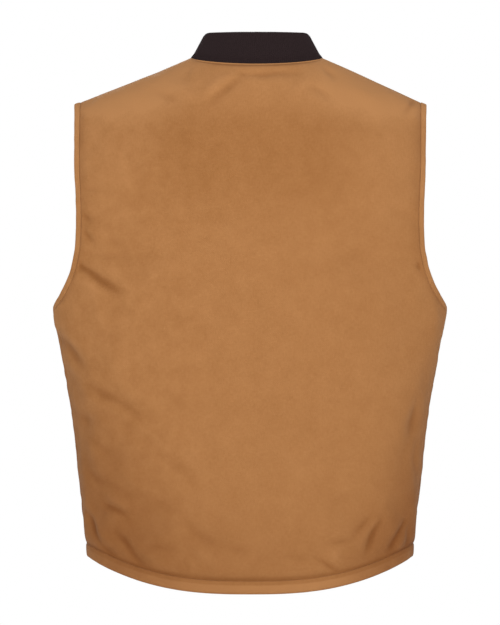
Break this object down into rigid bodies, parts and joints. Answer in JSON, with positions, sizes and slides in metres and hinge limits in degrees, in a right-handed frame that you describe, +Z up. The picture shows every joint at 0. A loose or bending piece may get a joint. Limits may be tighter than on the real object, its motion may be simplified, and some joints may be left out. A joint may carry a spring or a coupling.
{
  "type": "insulated work vest",
  "caption": "Sleeveless padded work vest of brown cotton duck with a rib knit stand collar, zip front and rounded drop-tail hem, in the form it takes on a wearer.",
  "frame": {"origin": "the middle of the wearer's neck, level with the two points where the shoulder seams meet the collar", "axes": "+Z up, the front faces -Y, +X towards the wearer's left"},
  "size_m": [0.5296, 0.2283, 0.7536],
  "materials": {
    "duck": "matt brown cotton duck",
    "rib_knit": "matt dark brown rib knit",
    "zip": "aged brass teeth and slider on brown tape"
  },
  "bodies": {
    "root": {"back_panel": "duck", "front_panel_left": "duck", "front_panel_right": "duck", "back_hem": "duck", "front_hem_left": "duck", "front_hem_right": "duck", "armhole_edge_left": "duck", "armhole_edge_right": "duck", "rib_collar": "rib_knit", "front_zip": "zip"}
  },
  "joints": []
}
